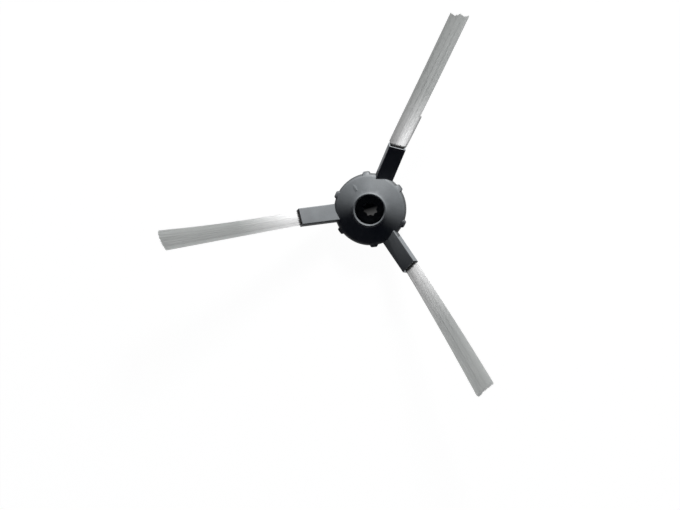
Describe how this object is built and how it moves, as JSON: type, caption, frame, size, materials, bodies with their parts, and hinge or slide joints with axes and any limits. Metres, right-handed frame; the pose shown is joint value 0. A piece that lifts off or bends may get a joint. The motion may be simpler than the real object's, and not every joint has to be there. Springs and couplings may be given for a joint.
{
  "type": "robot vacuum side brush",
  "caption": "Domed hub with a drive socket and flat rising sleeves, each holding a tuft of straight nylon bristles, that sweeps dirt under a robot vacuum.",
  "frame": {"origin": "on the hub's axis, in the plane of the flat back face", "axes": "+Z along the hub's axis from the back face towards the dome, +X along the first sleeve seen from above"},
  "size_m": [0.1453, 0.1559, 0.0371],
  "materials": {
    "hub": "moulded, fine matte",
    "bristles": "straight nylon filament"
  },
  "bodies": {
    "root": {"hub": "hub", "tuft_1": "bristles", "tuft_2": "bristles", "tuft_3": "bristles"}
  },
  "joints": []
}
